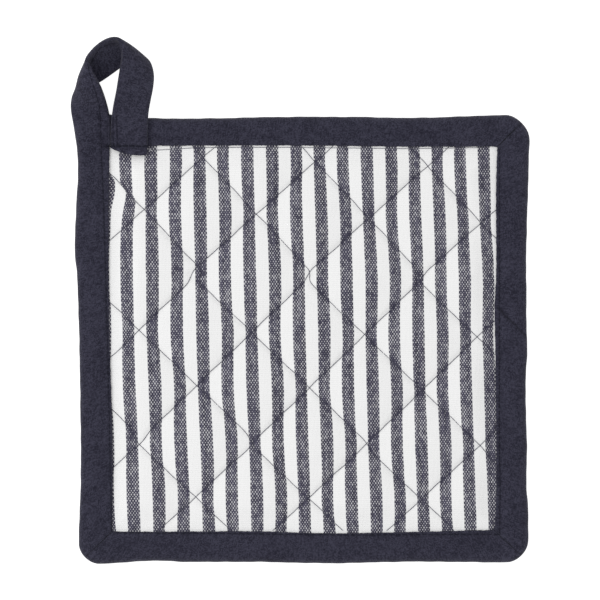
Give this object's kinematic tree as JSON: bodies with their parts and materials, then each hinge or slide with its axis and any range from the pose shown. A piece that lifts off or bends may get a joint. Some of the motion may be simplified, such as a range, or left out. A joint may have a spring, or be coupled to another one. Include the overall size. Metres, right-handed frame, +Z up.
{
  "type": "pot holder",
  "caption": "Square quilted pot holder in striped cotton with a bound edge, mitred corners and a hanging loop sewn at one corner",
  "frame": {"origin": "middle of the quilted pad's underside, on the surface it lies on", "axes": "+Z up out of the striped front, +Y towards the edge with the hanging loop, +X to the right seen from the front"},
  "size_m": [0.2042, 0.2346, 0.012],
  "materials": {
    "striped_cotton": "matt woven cotton, dark stripes on white",
    "navy_cotton": "matt plain-woven cotton",
    "navy_loop_cotton": "matt plain-woven cotton"
  },
  "bodies": {
    "root": {"quilted_pad": "striped_cotton", "edge_binding": "navy_cotton", "hanging_loop": "navy_loop_cotton"}
  },
  "joints": []
}
